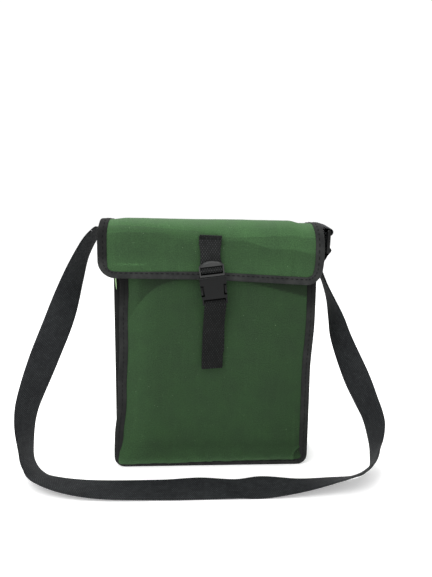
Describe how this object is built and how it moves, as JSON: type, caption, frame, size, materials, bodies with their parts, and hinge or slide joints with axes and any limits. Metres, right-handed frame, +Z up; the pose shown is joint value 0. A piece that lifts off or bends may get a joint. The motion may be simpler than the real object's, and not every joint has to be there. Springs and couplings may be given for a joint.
{
  "type": "cash deposit bag",
  "caption": "Upright flat canvas bag with a fold-over flap, taped edges, a side-release buckle and a long webbing shoulder strap.",
  "frame": {"origin": "middle of the bag's base, on the surface it stands on", "axes": "+Z up, -Y towards the front with the flap and buckle, +X to the right seen from the front"},
  "size_m": [0.4576, 0.1425, 0.3065],
  "materials": {
    "green_canvas": "matt coated canvas",
    "green_lining": "plain cloth backing",
    "black_tape": "plain woven binding tape",
    "black_webbing": "coarse woven webbing",
    "strap_webbing": "fine ribbed webbing",
    "black_plastic": "satin moulded plastic",
    "grey_board": "plain stiffening board"
  },
  "bodies": {
    "root": {"front_panel": "green_canvas", "back_panel": "green_canvas", "gusset": "green_canvas", "base_board": "grey_board", "front_binding": "black_tape", "back_binding": "black_tape", "mouth_binding": "black_tape", "front_webbing": "black_webbing", "strap_anchor_left": "strap_webbing", "strap_tab_right": "strap_webbing"},
    "flap": {"flap_panel": "green_canvas", "flap_lining": "green_lining", "flap_binding": "black_tape", "flap_webbing": "black_webbing", "buckle_plug": "black_plastic"},
    "socket": {"buckle_socket": "black_plastic", "closure_tail": "black_webbing"},
    "arm_left": {"latch_arm_left": "black_plastic"},
    "arm_right": {"latch_arm_right": "black_plastic"},
    "strap": {"shoulder_strap": "strap_webbing", "strap_tab_loop": "strap_webbing", "strap_slider": "black_plastic", "strap_loop_right": "strap_webbing"}
  },
  "joints": [
    {"name": "flap_hinge", "type": "hinge", "parent": "root", "child": "flap", "pos_m": [0, 0.036, 0.3044], "axis": [-1, 0, 0], "range_deg": [0, 175]},
    {"name": "buckle_release", "type": "slide", "parent": "flap", "child": "socket", "axis": [0.1219, 0, -0.9925], "range_m": [0, 0.028], "deforming": ["latch_arm_left", "latch_arm_right"]},
    {"name": "arm_squeeze_right", "type": "hinge", "parent": "flap", "child": "arm_right", "pos_m": [0.00421, -0.0478, 0.24404], "axis": [0, 1, 0], "range_deg": [0, 9], "stiffness_Nm_per_rad": 0.2},
    {"name": "arm_squeeze_left", "type": "hinge", "parent": "flap", "child": "arm_left", "pos_m": [-0.01207, -0.0478, 0.24204], "axis": [0, -1, 0], "range_deg": [0, 9], "stiffness_Nm_per_rad": 0.2},
    {"name": "strap_swing", "type": "hinge", "parent": "root", "child": "strap", "pos_m": [0, 0.0013, 0.2973], "axis": [-1, 0, 0], "range_deg": [0, 155]}
  ],
  "couplings": [
    {"joint": "arm_squeeze_left", "follows": "arm_squeeze_right", "ratio": 1}
  ]
}
